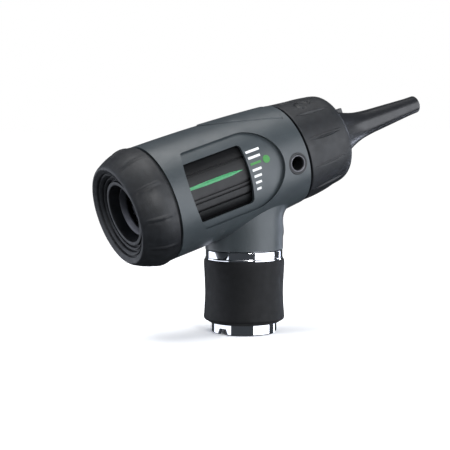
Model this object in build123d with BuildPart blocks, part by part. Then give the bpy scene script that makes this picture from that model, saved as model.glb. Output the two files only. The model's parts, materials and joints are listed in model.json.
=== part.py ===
from build123d import *
from math import cos, radians, sin, sqrt
import os

# Otoscope head with a focusing eyepiece and a speculum that a twist of the front grip pushes off.
# Millimetres. The origin is the centre of the base ring's underside, +Z runs up the neck, +X points
# towards the speculum, and -Y is the right-hand side. Stations are distances along the barrel's
# axis, positive towards the speculum. Angles go round the barrel: 0 is the right-hand side, 90 up.

# ---- Barrel frame ----
barrel_tilt = 17.0  # degrees, speculum end up
barrel_height = 51.8  # where the barrel's axis crosses the neck's axis

# ---- Housing ----
housing_back = -34.1
housing_middle = -10.0
housing_front = 14.1
skin_back_radius = 18.15
skin_middle_radius = 17.7
skin_front_radius = 16.3
housing_wall = 2.2
rear_wall = 2.0
front_wall = 2.0
web_back = -3.6
web_thickness = 1.6
spigot_length = 6.4
spigot_radius = 16.6
spigot_wall = 1.6
neck_radius = 12.3
neck_bottom = 26.55
neck_blend_start = 30.5
# Each row: height over the start, growth towards +X, growth sideways
neck_blend = ((0, 0, 0), (5, 0, 0), (7.5, 0.55, 0.05), (9.7, 2.4, 0.2), (11.2, 4.6, 0.3))
dowel_radius = 0.6
dowel_length = 6.0
dowel_stations = (housing_back + 3.1, housing_front - 3.1)
dowel_skin = 0.06  # wall left between a dowel and the inside of the housing

# ---- Finger windows and their recesses ----
recess_angle = 8.0
recess_depth = 1.35
recess_flatness = 3.2  # how far the floor's axis lies beyond the barrel's axis
recess_half_width = 12.0
recess_corner_station = -26.2
recess_bow = 2.8
recess_corner = 1.2
recess_end_station = -6.9  # centre of the round end
window_top = 8.5
window_bottom = -9.6
window_end_top = -6.75
window_end_bottom = -7.6
window_corner = 1.2

# ---- Scale beside each window ----
bar_start = -6.2
bar_longest = 5.0
bar_step = 0.56  # each bar is this much shorter than the one above
bar_pitch = 1.93
bar_width = 0.75
bar_count = 7
top_bar_height = 5.45
green_bar = 2  # counted from the top, 0 first
green_bar_width = 0.7
dot_radius = 1.2
dot_gap = 2.1
print_thickness = 0.12

# ---- Top panel ----
panel_back = -12.5
panel_front = housing_front - 1.9
panel_half_width = 10.4
panel_pocket = 0.5
panel_proud = 0.25
panel_gap = 0.25

# ---- Neck and handle socket ----
socket_radius = 10.3
socket_height = 31.5
socket_bore_radius = 8.8
socket_bore_depth = 10.0
socket_web = 2.0
lamp_hole_radius = 5.2
notch_count = 3
notch_angle = -161.0
notch_width = 2.6
notch_spread = 0.9
notch_height = 2.0
base_chamfer = 0.35
sleeve_bottom = 3.3
sleeve_top = 23.4
sleeve_foot_radius = 10.75
sleeve_foot_height = 1.8
sleeve_low_radius = 12.7
sleeve_waist_radius = 12.25
sleeve_high_radius = 12.6
neck_ring_radius = neck_radius - 0.15
neck_ring_top = 26.3
neck_ring_lip = 0.2
neck_ring_lip_height = 0.45

# ---- Lamp, light guide ----
lamp_radius = 4.55
lamp_bottom = 11.6
lamp_top = 21.0
lamp_collar_radius = 5.1
lamp_collar_height = 0.9
bulb_radius = 3.0
bulb_height = 5.4
insulator_radius = 3.2
insulator_height = 0.9
contact_radius = 1.5
contact_height = 1.2
holder_top = 20.0
plate_bottom = 30.0
plate_thickness = 1.5
guide_x = 3.0
guide_radius = 1.8
guide_clearance = 1.2  # between the light guide and the lens tube above it
guide_bend = 5.0
ferrule_radius = 2.6
ferrule_top = 34.5

# ---- Lens tube ----
tube_radius = 9.0
tube_wall = 1.4
tube_end = -2.0
tube_bore = tube_radius - tube_wall
neck_passage_margin = 1.2  # past the lens tube's underside, so that the web keeps no foot there
neck_passage_top = barrel_height - tube_radius + neck_passage_margin

# ---- Eyepiece ----
eyecup_gap = 0.8
eyecup_radius = 18.4
eyecup_shoulder = -39.2
eyecup_rim = -46.4
eyecup_rim_radius = 15.3
eyecup_rim_round = 0.9
eyecup_lip_radius = 17.3
bowl_radius = 13.4
bowl_step = 0.8
ridge_width = 0.75
trough_width = 0.75
bowl_rings = 3
trough_depth = 0.75
eye_hole_radius = 8.7
eyepiece_cup_radius = tube_radius + 1.0
eyepiece_cup_end = -40.3
eye_ring_radius = 7.7
eye_ring_bore = 6.3
eye_ring_thickness = 1.1
eye_lens_thickness = 3.0
eye_lens_crown = 1.0
lens_stop_bore = 6.8
lens_stop_thickness = 1.0

# ---- Focusing ----
shoulder_radius = tube_radius + 1.4
shoulder_station = -29.4
shoulder_thickness = 1.0
running_gap = 0.05  # radial, between parts that turn or slide on each other
axial_gap = 0.3
friction_ring_thickness = 0.3
wheel_radius = 14.8
wheel_rim = 1.8
wheel_hub_radius = tube_radius + 1.7
wheel_back = -28.6
wheel_front = -5.6
hub_back = -27.8
hub_front = -6.6
wheel_web = 1.6
groove_angles = (46, 26, -2, -7, -17, -31, -44)
groove_width = 0.8
groove_depth = 0.7
index_angle = 11.7
index_back = -27.4
index_front = -8.3
index_width = 1.4
index_inlay = 0.3
index_proud = 0.05
focus_travel = 6.0
focus_turn = 42.5  # degrees of wheel that drive the whole travel
focus_back_share = 15.0  # degrees of it on the far side of rest
carriage_length = 8.0
carriage_middle = -18.5
carriage_wall = 0.7
focus_lens_thickness = 3.0
pin_radius = 0.9
slot_gap = 0.3

# ---- Nose and light outlet, set out from the housing's front ----
nose_hub_radius = 10.0
nose_hub_bore = 7.5
nose_hub_back = housing_front - 3.1
nose_hub_front = housing_front + 11.9
nose_flange_radius = 13.0
nose_flange_thickness = 1.4
gasket_thickness = 0.4
nose_boss_radius = 8.0
nose_boss_front = housing_front + 16.1
nose_cone_points = (
    (nose_boss_front, 6.2),
    (nose_boss_front + 16.8, 3.2),
    (nose_boss_front + 29.8, 2.3),
)
nose_bore_points = (
    (nose_boss_front - 2.2, 5.2),
    (nose_boss_front + 14.8, 2.2),
    (nose_boss_front + 29.8, 1.5),
)
light_ring_length = 1.5
light_ring_bore = 1.9
objective_station = housing_front + 3.4
objective_thickness = 2.2
objective_ring_thickness = 1.4
objective_ring_bore = 6.6
nose_screw_count = 3
nose_screw_circle = 11.6
nose_screw_radius = 0.8
nose_screw_head = 1.3
nose_screw_head_height = 0.9

# ---- Front grip and ejector ----
grip_gap = 0.8
grip_back_radius = 16.15
grip_front_radius = 14.65
grip_front = housing_front + 18.8
grip_round = 3.0
grip_mouth_radius = 9.9
mouth_chamfer = 0.6
grip_skin_radius = 13.3
core_back = housing_front + 3.3
core_bore_end = housing_front + 10.7
core_skirt_radius = 11.6
core_front = housing_front + 17.3
circlip_thickness = 0.7
circlip_radius = 11.0
circlip_groove_radius = 9.4
circlip_opening = 3.0
spring_pocket_radius = 12.7
spring_pocket_depth = 4.2
spring_lip = 0.8  # wall of the core left inside the spring
spring_radius = 11.7
spring_wire = 0.3
spring_pitch = 1.0
spring_turns = 3
ejector_back = housing_front + 12.2
ejector_front = housing_front + 16.6
ejector_radius = 9.3
ejector_travel = 2.5
grip_turn = 35.0
ejector_pin_station = housing_front + 13.3
ejector_pin_radius = 0.8
ejector_pin_reach = 12.9

# ---- Ridges of the eyecup and the grip ----
ridge_count = 11
ridge_thickness = 0.7
ridge_height = 0.45
eyecup_ridge_angle = 28.6
eyecup_ridge_back = -45.2
eyecup_ridge_front = -36.2
ridge_overlap = 1.5  # how far the two halves of an eyecup ridge run into each other
grip_ridge_angle = 17.3
grip_ridge_back = housing_front + 2.9
grip_ridge_front = housing_front + 14.9

# ---- Insufflation port, right-hand side ----
port_station = housing_front - 4.5
port_drop = 0.9  # below the barrel's axis
port_radius = 2.9
port_bore = 2.0
port_ring_radius = 3.4
port_inner_end = 11.5
port_proud = 0.25
port_ring_depth = 3.0

# ---- Speculum ----
speculum_back = housing_front + 16.9
speculum_base_radius = 9.0
speculum_base_length = 2.2
speculum_flare = (
    (speculum_back + 5.0, 8.0),
    (speculum_back + 9.0, 6.15),
    (speculum_back + 12.0, 5.1),
    (speculum_back + 17.5, 4.2),
)
speculum_tip = speculum_back + 39.0
speculum_tip_radius = 2.9
speculum_tip_bore = 2.2
speculum_tip_length = 4.6
speculum_wall = 0.65
lug_station = speculum_back + 6.6
lug_length = 2.8
lug_width = 1.8
lug_reach = 7.5
lug_angle = 96.0

# ---- Cutters ----
overshoot = 2.0  # how far a cutter runs past what it cuts
side_start = skin_back_radius + overshoot  # side cutters start here and run inwards
side_cut = -skin_back_radius * 0.6

# ---- Directions and planes ----
along = Vector(cos(radians(barrel_tilt)), 0, sin(radians(barrel_tilt)))
above = Vector(-sin(radians(barrel_tilt)), 0, cos(radians(barrel_tilt)))
right_side = Vector(0, -1, 0)
centre = Vector(0, 0, barrel_height)
barrel_axis = Axis(centre, along)


def outward(angle):
    """Direction square to the barrel: 0 is the right-hand side, 90 is up."""
    return right_side * cos(radians(angle)) + above * sin(radians(angle))


def lengthwise(angle, shift=0.0):
    """Plane along the barrel: x is the station and y points outwards at the angle."""
    out = outward(angle)
    return Plane(origin=centre + out * shift, x_dir=along, z_dir=along.cross(out))


def across(station):
    """Plane square to the barrel: x points to the left-hand side and y upwards."""
    return Plane(origin=centre + along * station, x_dir=right_side * -1, z_dir=along)


def facing(angle, distance):
    """Plane beside the barrel: x is the station and the normal points outwards."""
    out = outward(angle)
    return Plane(origin=centre + out * distance, x_dir=along, z_dir=out)


def spread(first, last, share):
    """Value that lies the given share of the way from first to last."""
    return first + (last - first) * share


def turned(points, angle=90):
    """Solid turned about the barrel's axis from (station, radius) points."""
    with BuildPart() as solid:
        with BuildSketch(lengthwise(angle)):
            with BuildLine():
                Polyline(*points, close=True)
            make_face()
        revolve(axis=barrel_axis)
    return solid


def ring(start, end, outer, inner=0.0):
    """Plain ring or disc on the barrel's axis."""
    return turned([(start, inner), (start, outer), (end, outer), (end, inner)])


def upright(points):
    """Solid turned about the neck's axis from (radius, height) points."""
    with BuildPart() as solid:
        with BuildSketch(Plane.XZ):
            with BuildLine():
                Polyline(*points, close=True)
            make_face()
        revolve(axis=Axis.Z)
    return solid


def upright_ring(bottom, top, outer, inner=0.0):
    """Plain ring or disc on the neck's axis."""
    return upright([(inner, bottom), (outer, bottom), (outer, top), (inner, top)])


def barrel_solid(depth, angle=90, shift=0.0):
    """Solid under the housing's skin, depth below it; shift moves its axis away from the angle."""
    radii = [r - depth + shift for r in (skin_back_radius, skin_middle_radius, skin_front_radius)]
    with BuildPart() as solid:
        with BuildSketch(lengthwise(angle, -shift)):
            with BuildLine():
                skin = ThreePointArc(
                    (housing_back, radii[0]), (housing_middle, radii[1]), (housing_front, radii[2])
                )
                Polyline(skin @ 1, (housing_front, 0), (housing_back, 0), skin @ 0)
            make_face()
        revolve(axis=Axis(centre - outward(angle) * shift, along))
    return solid


def skin_radius(station):
    """Radius of the housing's skin at a station, to within a few hundredths."""
    if station < housing_middle:
        share = (station - housing_back) / (housing_middle - housing_back)
        return spread(skin_back_radius, skin_middle_radius, share ** 2)
    share = (station - housing_middle) / (housing_front - housing_middle)
    return spread(skin_middle_radius, skin_front_radius, share)


def helical_slot(radius, depth, width, travel, turn):
    """Cutter that starts on local X and climbs travel along +Z while it turns turn degrees clockwise."""
    run_on = 0.12  # share of the slot added at each end for the pin's own radius
    with BuildPart() as slot:
        edge = Helix(
            pitch=travel * 360 / turn, height=travel * (1 + 2 * run_on), radius=radius, lefthand=True
        )
        with BuildSketch(Plane(origin=edge @ 0, x_dir=(1, 0, 0), z_dir=edge % 0)):
            Rectangle(depth, width)
        sweep(path=edge, is_frenet=True)
    return slot.part.moved(Location((0, 0, -travel * run_on), (0, 0, turn * run_on)))


def cap_arc(axis_point, edge_radius, height):
    """Spherical cap's profile from its edge to the axis; the crown is at axis_point."""
    radius = (edge_radius ** 2 + height ** 2) / (2 * abs(height))
    sag = radius - sqrt(radius ** 2 - edge_radius ** 2 / 4)
    direction = 1 if height > 0 else -1
    return ThreePointArc(
        (axis_point - height, edge_radius),
        (axis_point - direction * sag, edge_radius / 2),
        (axis_point, 0),
    )


def ridge(back, front, back_radius, front_radius, height, angle):
    """One thin raised ridge on a tapered skin, dying away at both ends."""
    sunk = 0.6
    crown = [spread(back, front, share) for share in (0.3, 0.7)]
    radii = [spread(back_radius, front_radius, share) + height for share in (0.3, 0.7)]
    with BuildPart() as fin:
        with BuildSketch(lengthwise(angle)):
            with BuildLine():
                Polyline(
                    (back, back_radius - sunk),
                    (back, back_radius - sunk / 4),
                    (crown[0], radii[0]),
                    (crown[1], radii[1]),
                    (front, front_radius - sunk / 4),
                    (front, front_radius - sunk),
                    close=True,
                )
            make_face()
        extrude(amount=ridge_thickness / 2, both=True)
    return fin


# ---- Housing, made whole and then split into two shells ----
wall_inside = barrel_solid(housing_wall)
interior_back = housing_back + rear_wall
interior_front = housing_front - front_wall
neck_bore_radius = socket_radius

with BuildPart() as interior:
    add(wall_inside.part)
    split(bisect_by=across(interior_back), keep=Keep.TOP)
    split(bisect_by=across(interior_front), keep=Keep.BOTTOM)
    web = ring(web_back, web_back + web_thickness, skin_back_radius + overshoot, tube_radius)
    add(web.part, mode=Mode.SUBTRACT)

# The cutter of one recess, and of the window in it
recess_floor = barrel_solid(recess_depth, recess_angle, recess_flatness)
with BuildPart() as recess_prism:
    with BuildSketch(facing(recess_angle, side_start)):
        with BuildLine():
            back = ThreePointArc(
                (recess_corner_station, recess_half_width),
                (recess_corner_station - recess_bow, 0),
                (recess_corner_station, -recess_half_width),
            )
            bottom_side = Line(back @ 1, (recess_end_station, -recess_half_width))
            end = ThreePointArc(
                bottom_side @ 1,
                (recess_end_station + recess_half_width, 0),
                (recess_end_station, recess_half_width),
            )
            Line(end @ 1, back @ 0)
        make_face()
        fillet(vertices().sort_by(Axis.X)[:2], radius=recess_corner)
    extrude(amount=side_cut)

with BuildPart() as recess:
    add(recess_prism.part)
    add(recess_floor.part, mode=Mode.SUBTRACT)

with BuildPart() as window:
    with BuildSketch(facing(recess_angle, side_start)):
        with BuildLine():
            Polyline(
                (recess_corner_station - recess_bow - overshoot, window_bottom),
                (window_end_bottom, window_bottom),
                (window_end_top, window_top),
                (recess_corner_station - recess_bow - overshoot, window_top),
                close=True,
            )
        make_face()
        fillet(vertices().sort_by(Axis.X)[-2:], radius=window_corner)
    extrude(amount=side_cut)
    add(recess_prism.part, mode=Mode.INTERSECT)

# The top panel's outline is a parabola; the pocket and the panel both use it
def panel_prism(inset):
    """Upright prism of the panel's outline, drawn in by the inset."""
    half = panel_half_width - inset
    tip = (panel_back + 2 * inset, 0)
    ends = [(panel_front - inset, half), (panel_front - inset, -half)]
    with BuildPart() as prism:
        with BuildSketch(facing(90, side_start)):
            with BuildLine():
                Bezier(ends[0], (tip[0], half / 2), tip)
                Bezier(tip, (tip[0], -half / 2), ends[1])
                Line(ends[1], ends[0])
            make_face()
        extrude(amount=side_cut)
    return prism


with BuildPart() as panel_pocket_cutter:
    add(panel_prism(0).part)
    add(barrel_solid(panel_pocket).part, mode=Mode.SUBTRACT)

port_centre = centre + along * port_station - above * port_drop
port_plane = Plane(origin=port_centre, x_dir=along, z_dir=right_side)


def port_cylinder(start, end, radius):
    """Cylinder on the port's axis between two distances from the barrel's mid-plane."""
    with BuildPart() as solid:
        with BuildSketch(port_plane.offset(start)):
            Circle(radius)
        extrude(amount=end - start)
    return solid


port_face = skin_radius(port_station) + port_proud
nose_screw_angles = [90 + 360 / nose_screw_count * turn for turn in range(nose_screw_count)]


def screw_places(station):
    """Locations of the nose screws' axes on a plane across the barrel."""
    return [
        across(station)
        * Location((nose_screw_circle * cos(radians(a)), nose_screw_circle * sin(radians(a)), 0))
        for a in nose_screw_angles
    ]


dowel_places = []
for station in dowel_stations:
    reach = skin_radius(station) - housing_wall + dowel_radius + dowel_skin
    for sign in (1, -1):
        dowel_places.append(centre + along * station + above * (sign * reach))

with BuildPart() as housing_dowels:
    for place in dowel_places:
        with BuildSketch(Plane(origin=place, x_dir=along, z_dir=right_side)):
            Circle(dowel_radius)
        extrude(amount=dowel_length / 2, both=True)

with BuildPart() as neck_flare:
    for height, forward, sideways in neck_blend:
        with BuildSketch(Plane.XY.offset(neck_blend_start + height)):
            with Locations((forward / 2, 0)):
                Ellipse(neck_radius + forward / 2, neck_radius + sideways)
    loft()

with BuildPart() as housing:
    add(barrel_solid(0).part)
    with BuildSketch(Plane.XY.offset(neck_bottom)):
        Circle(neck_radius)
    extrude(amount=barrel_height - neck_bottom)
    add(neck_flare.part)
    add(interior.part, mode=Mode.SUBTRACT)
    spigot = ring(
        housing_back - spigot_length, housing_back, spigot_radius, spigot_radius - spigot_wall
    )
    add(spigot.part)
    neck_passage = upright_ring(neck_bottom - overshoot, neck_passage_top, neck_bore_radius)
    add(neck_passage.part, mode=Mode.SUBTRACT)
    tube_hole = ring(housing_back - overshoot, interior_back + overshoot, tube_radius)
    add(tube_hole.part, mode=Mode.SUBTRACT)
    hub_hole = ring(interior_front - overshoot, housing_front + overshoot, nose_hub_radius)
    add(hub_hole.part, mode=Mode.SUBTRACT)
    for hole in screw_places(interior_front - overshoot):
        with Locations(hole):
            Cylinder(
                nose_screw_radius,
                front_wall + 2 * overshoot,
                align=(Align.CENTER, Align.CENTER, Align.MIN),
                mode=Mode.SUBTRACT,
            )
    for cutter in (recess, window):
        add(cutter.part, mode=Mode.SUBTRACT)
        add(mirror(cutter.part, about=Plane.XZ, mode=Mode.PRIVATE), mode=Mode.SUBTRACT)
    add(panel_pocket_cutter.part, mode=Mode.SUBTRACT)
    port_hole = port_cylinder(nose_hub_radius, port_face + overshoot, port_radius)
    add(port_hole.part, mode=Mode.SUBTRACT)
    ring_seat = port_cylinder(port_face - port_ring_depth, port_face + overshoot, port_ring_radius)
    add(ring_seat.part, mode=Mode.SUBTRACT)
    add(housing_dowels.part, mode=Mode.SUBTRACT)

with BuildPart() as housing_right:
    add(housing.part)
    split(bisect_by=Plane.XZ, keep=Keep.TOP)

with BuildPart() as housing_left:
    add(housing.part)
    split(bisect_by=Plane.XZ, keep=Keep.BOTTOM)

with BuildPart() as top_panel:
    add(panel_prism(panel_gap).part)
    add(barrel_solid(-panel_proud).part, mode=Mode.INTERSECT)
    add(barrel_solid(panel_pocket).part, mode=Mode.SUBTRACT)

# ---- Scale printed on both recess floors ----
with BuildPart() as print_layer:
    add(barrel_solid(recess_depth - print_thickness, recess_angle, recess_flatness).part)
    add(recess_floor.part, mode=Mode.SUBTRACT)
    split(bisect_by=facing(recess_angle, skin_front_radius / 2), keep=Keep.TOP)

with BuildPart() as scale_marks:
    with BuildSketch(facing(recess_angle, side_start)):
        for bar in range(bar_count):
            if bar != green_bar:
                length = bar_longest - bar_step * bar
                with Locations((bar_start + length / 2, top_bar_height - bar_pitch * bar)):
                    Rectangle(length, bar_width)
    extrude(amount=side_cut)
    add(print_layer.part, mode=Mode.INTERSECT)
    mirror(about=Plane.XZ)

with BuildPart() as best_focus_marks:
    green_height = top_bar_height - bar_pitch * green_bar
    green_length = bar_longest - bar_step * green_bar
    with BuildSketch(facing(recess_angle, side_start)):
        with Locations((bar_start + green_length / 2, green_height)):
            Rectangle(green_length, green_bar_width)
        with Locations((bar_start + green_length + dot_gap, green_height)):
            Circle(dot_radius)
    extrude(amount=side_cut)
    add(print_layer.part, mode=Mode.INTERSECT)
    mirror(about=Plane.XZ)

# ---- Eyecup, with its stepped bowl ----
eyecup_front = housing_back - eyecup_gap
spigot_end = housing_back - spigot_length
bowl_points = [(eyecup_rim, bowl_radius)]
bowl_depth = eyecup_rim
bowl_edge = bowl_radius
for step in range(bowl_rings):
    bowl_points += [
        (bowl_depth + bowl_step + trough_depth, bowl_edge - 0.15),
        (bowl_depth + bowl_step + trough_depth, bowl_edge - trough_width),
        (bowl_depth + bowl_step, bowl_edge - trough_width - 0.15),
        (bowl_depth + bowl_step, bowl_edge - trough_width - ridge_width),
    ]
    bowl_depth += bowl_step
    bowl_edge -= trough_width + ridge_width
bowl_points[-1] = (bowl_depth, eye_hole_radius)
eyecup_inside = spigot_end - 0.1
eyecup_points = bowl_points + [
    (eyecup_inside, eye_hole_radius),
    (eyecup_inside, spigot_radius),
    (housing_back, spigot_radius),
    (housing_back, eyecup_lip_radius),
    (eyecup_front, eyecup_lip_radius),
    (eyecup_front, eyecup_radius - 0.15),
    (eyecup_shoulder, eyecup_radius),
    (eyecup_rim + eyecup_rim_round, eyecup_rim_radius + 0.25),
    (eyecup_rim, eyecup_rim_radius - eyecup_rim_round),
]
with BuildPart() as eyecup:
    add(turned(eyecup_points).part)
    for turn in range(ridge_count):
        angle = eyecup_ridge_angle + 360 / ridge_count * turn
        back_ridge = ridge(
            eyecup_ridge_back,
            eyecup_shoulder,
            eyecup_rim_radius + ridge_height,
            eyecup_radius,
            ridge_height,
            angle,
        )
        front_ridge = ridge(
            eyecup_shoulder - ridge_overlap,
            eyecup_ridge_front,
            eyecup_radius - ridge_height,
            eyecup_radius,
            ridge_height,
            angle,
        )
        add(back_ridge.part)
        add(front_ridge.part)

# ---- Fixed lens tube with the eyepiece lens ----
eye_lens_back = eyepiece_cup_end + eye_ring_thickness
eye_lens_front = eye_lens_back + eye_lens_thickness
lens_tube_points = [
    (eyepiece_cup_end, eye_ring_radius),
    (eyepiece_cup_end, eyepiece_cup_radius),
    (housing_back, eyepiece_cup_radius),
    (housing_back, tube_radius),
    (shoulder_station, tube_radius),
    (shoulder_station, shoulder_radius),
    (shoulder_station + shoulder_thickness, shoulder_radius),
    (shoulder_station + shoulder_thickness, tube_radius),
    (tube_end, tube_radius),
    (tube_end, tube_bore),
    (eye_lens_front + lens_stop_thickness, tube_bore),
    (eye_lens_front + lens_stop_thickness, lens_stop_bore),
    (eye_lens_front, lens_stop_bore),
    (eye_lens_front, eye_ring_radius),
]
focus_step = focus_travel / focus_turn
travel_back = focus_back_share * focus_step
travel_front = focus_travel - travel_back
slot_half_width = pin_radius + slot_gap
with BuildPart() as lens_tube:
    add(turned(lens_tube_points).part)
    with BuildSketch(facing(90, 0)):
        slot_start = carriage_middle - travel_back - slot_half_width
        slot_end = carriage_middle + travel_front + slot_half_width
        with Locations(((slot_start + slot_end) / 2, 0)):
            SlotOverall(slot_end - slot_start, 2 * slot_half_width)
    extrude(amount=tube_radius + overshoot, both=True, mode=Mode.SUBTRACT)

with BuildPart() as eyepiece_lens:
    with BuildSketch(lengthwise(90)):
        with BuildLine():
            crown = cap_arc(eye_lens_back, eye_ring_radius, -eye_lens_crown)
            Polyline(crown @ 1, (eye_lens_front, 0), (eye_lens_front, eye_ring_radius), crown @ 0)
        make_face()
    revolve(axis=barrel_axis)

eyepiece_ring = turned(
    [
        (eyepiece_cup_end, eye_ring_radius),
        (eye_lens_back, eye_ring_radius),
        (eye_lens_back, eye_ring_bore),
        (eyepiece_cup_end + 0.5, eye_ring_bore),
        (eyepiece_cup_end, eye_ring_bore + 0.4),
    ]
)

# ---- Focus wheel on the lens tube ----
friction_start = shoulder_station + shoulder_thickness
friction_ring = ring(
    friction_start, friction_start + friction_ring_thickness, shoulder_radius, tube_radius
)
wheel_spacer = ring(hub_front + axial_gap, web_back, shoulder_radius, tube_radius)
hub_bore = tube_radius + running_gap

with BuildPart() as wheel_blank:
    rim = ring(wheel_back, wheel_front, wheel_radius, wheel_radius - wheel_rim)
    hub = ring(hub_back, hub_front, wheel_hub_radius, hub_bore)
    disc = ring(hub_front - wheel_web, hub_front, wheel_radius - 0.5, hub_bore)
    for piece in (rim, hub, disc):
        add(piece.part)
    for side in (1, -1):
        for groove in groove_angles:
            angle = groove if side == 1 else 180 - groove
            with BuildSketch(lengthwise(angle)):
                with Locations(((wheel_back + wheel_front) / 2, wheel_radius)):
                    Rectangle(wheel_front - wheel_back + overshoot, 2 * groove_depth)
            extrude(amount=groove_width / 2, both=True, mode=Mode.SUBTRACT)
    chamfer(edges().filter_by(GeomType.CIRCLE).group_by(SortBy.RADIUS)[-1], length=0.25)
    cam = helical_slot(
        (hub_bore + wheel_hub_radius) / 2, 2 * overshoot, 2 * slot_half_width, focus_travel, focus_turn
    )
    for side in (90, 270):
        with Locations(across(carriage_middle - travel_back)):
            add(cam, rotation=(0, 0, side + focus_back_share), mode=Mode.SUBTRACT)


def index_outline(width):
    """Long tapered pointer, blunt at the eyepiece end and pointed at the speculum end."""
    with BuildLine() as outline:
        Polyline(
            (index_back, width * 0.32),
            (spread(index_back, index_front, 0.45), width / 2),
            (spread(index_back, index_front, 0.8), width * 0.36),
            (index_front, 0.0),
            (spread(index_back, index_front, 0.8), -width * 0.36),
            (spread(index_back, index_front, 0.45), -width / 2),
            (index_back, -width * 0.32),
            close=True,
        )
    return outline.line


with BuildPart() as index_lines:
    for side in (1, -1):
        angle = index_angle if side == 1 else 180 - index_angle
        with BuildSketch(facing(angle, wheel_radius - index_inlay)):
            add(index_outline(index_width))
            make_face()
        extrude(amount=index_inlay + overshoot)
    inlay = ring(
        index_back - overshoot,
        index_front + overshoot,
        wheel_radius + index_proud,
        wheel_radius - index_inlay,
    )
    add(inlay.part, mode=Mode.INTERSECT)

with BuildPart() as focus_wheel:
    add(wheel_blank.part)
    add(index_lines.part, mode=Mode.SUBTRACT)

# ---- Carriage with the moving lens and its two cam pins ----
carriage_back = carriage_middle - carriage_length / 2
carriage_front = carriage_middle + carriage_length / 2
carriage_radius = tube_bore - running_gap
focus_lens_radius = carriage_radius - carriage_wall
cam_pin_reach = wheel_hub_radius - 0.2
with BuildPart() as cam_pins:
    for side in (90, 270):
        pin_start = centre + along * carriage_middle
        with BuildSketch(Plane(origin=pin_start, x_dir=along, z_dir=outward(side))):
            Circle(pin_radius)
        extrude(amount=cam_pin_reach)
    add(ring(carriage_back, carriage_front, focus_lens_radius).part, mode=Mode.SUBTRACT)

with BuildPart() as lens_carriage:
    add(ring(carriage_back, carriage_front, carriage_radius, focus_lens_radius).part)
    add(cam_pins.part, mode=Mode.SUBTRACT)

with BuildPart() as focus_lens:
    half = focus_lens_thickness / 2
    with BuildSketch(lengthwise(90)):
        with BuildLine():
            front = cap_arc(carriage_middle + half, focus_lens_radius, half * 0.6)
            rear = cap_arc(carriage_middle - half, focus_lens_radius, -half * 0.6)
            Line(front @ 1, rear @ 1)
            Line(rear @ 0, front @ 0)
        make_face()
    revolve(axis=barrel_axis)

# ---- Nose with its objective lens and light outlet ----
gasket_front = housing_front + gasket_thickness
flange_front = gasket_front + nose_flange_thickness
circlip_back = core_bore_end + axial_gap
circlip_front = circlip_back + circlip_thickness
nose_points = [
    (nose_hub_back, nose_hub_bore),
    (nose_hub_back, nose_hub_radius),
    (gasket_front, nose_hub_radius),
    (gasket_front, nose_flange_radius),
    (flange_front, nose_flange_radius),
    (flange_front, nose_hub_radius),
    (circlip_back, nose_hub_radius),
    (circlip_back, circlip_groove_radius),
    (circlip_front, circlip_groove_radius),
    (circlip_front, nose_hub_radius),
    (nose_hub_front, nose_hub_radius),
    (nose_hub_front, nose_boss_radius),
    (nose_boss_front, nose_boss_radius),
    *nose_cone_points,
    (nose_cone_points[-1][0], light_ring_bore),
    (nose_cone_points[-1][0] - light_ring_length, light_ring_bore),
    (nose_cone_points[-1][0] - light_ring_length, nose_bore_points[-1][1]),
    *reversed(nose_bore_points[:-1]),
    (objective_station + objective_thickness, nose_bore_points[0][1]),
    (objective_station + objective_thickness, nose_hub_bore),
]
with BuildPart() as nose_cone:
    add(turned(nose_points).part)
    for hole in screw_places(gasket_front - overshoot):
        with Locations(hole):
            Cylinder(
                nose_screw_radius,
                nose_flange_thickness + 2 * overshoot,
                align=(Align.CENTER, Align.CENTER, Align.MIN),
                mode=Mode.SUBTRACT,
            )

with BuildPart() as nose_gasket:
    add(ring(housing_front, gasket_front, nose_flange_radius, nose_hub_radius).part)
    for hole in screw_places(housing_front - overshoot):
        with Locations(hole):
            Cylinder(
                nose_screw_radius,
                gasket_thickness + 2 * overshoot,
                align=(Align.CENTER, Align.CENTER, Align.MIN),
                mode=Mode.SUBTRACT,
            )

with BuildPart() as nose_screws:
    for hole in screw_places(interior_front):
        with Locations(hole):
            Cylinder(
                nose_screw_radius,
                flange_front - interior_front,
                align=(Align.CENTER, Align.CENTER, Align.MIN),
            )
    for hole in screw_places(flange_front):
        with Locations(hole):
            Cylinder(
                nose_screw_head,
                nose_screw_head_height,
                align=(Align.CENTER, Align.CENTER, Align.MIN),
            )

light_ring = ring(
    nose_cone_points[-1][0] - light_ring_length,
    nose_cone_points[-1][0],
    light_ring_bore,
    nose_bore_points[-1][1],
)
objective_lens = ring(objective_station, objective_station + objective_thickness, nose_hub_bore)
objective_ring = ring(
    objective_station - objective_ring_thickness, objective_station, nose_hub_bore, objective_ring_bore
)

with BuildPart() as grip_circlip:
    add(ring(circlip_back, circlip_front, circlip_radius, circlip_groove_radius).part)
    with BuildSketch(across(circlip_back - overshoot)):
        with Locations((0, -circlip_radius)):
            Rectangle(circlip_opening, 2 * (circlip_radius - circlip_groove_radius) + overshoot)
    extrude(amount=circlip_thickness + 2 * overshoot, mode=Mode.SUBTRACT)

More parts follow.
